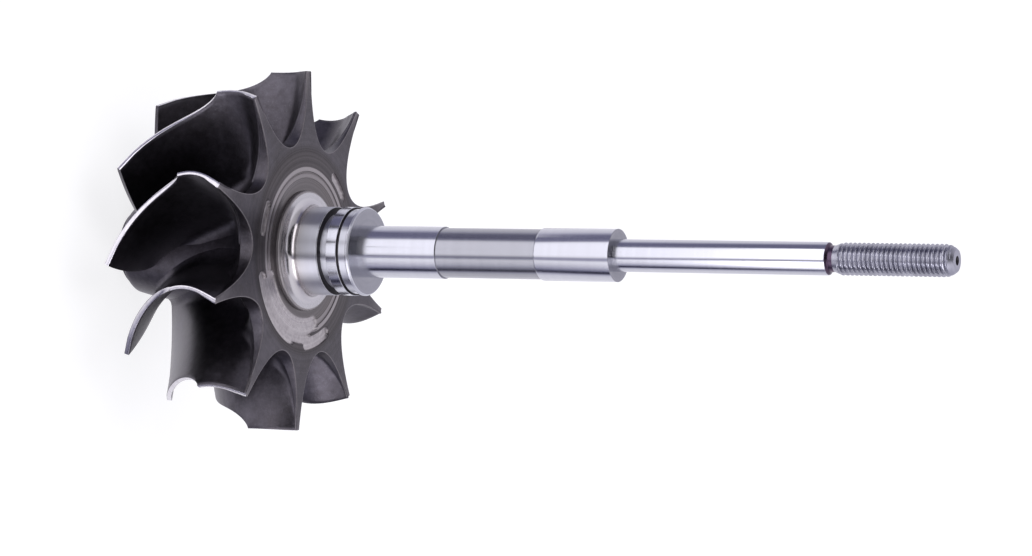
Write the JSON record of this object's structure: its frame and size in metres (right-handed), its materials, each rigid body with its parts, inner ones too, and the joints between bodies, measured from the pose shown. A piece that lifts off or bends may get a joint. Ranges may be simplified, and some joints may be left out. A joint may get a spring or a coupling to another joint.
{
  "type": "turbocharger turbine wheel with shaft",
  "caption": "Radial-inflow turbine wheel with a scalloped back disc and wrapped blades, welded to a stepped shaft with a seal boss, two journals and a threaded end.",
  "frame": {"origin": "centre of the flat end face of the wheel's nose, which is also the lowest point", "axes": "+Z along the shaft from the wheel's nose to the threaded end, +X towards the back corner of the first blade"},
  "size_m": [0.0724, 0.0706, 0.1775],
  "materials": {
    "cast_alloy": "as-cast heat-resistant alloy, dark grey with a brown tint, edges ground bright",
    "turned_steel": "turned and ground steel, polished on the journals"
  },
  "bodies": {
    "root": {"turbine_wheel": "cast_alloy", "rotor_shaft": "turned_steel"}
  },
  "joints": []
}
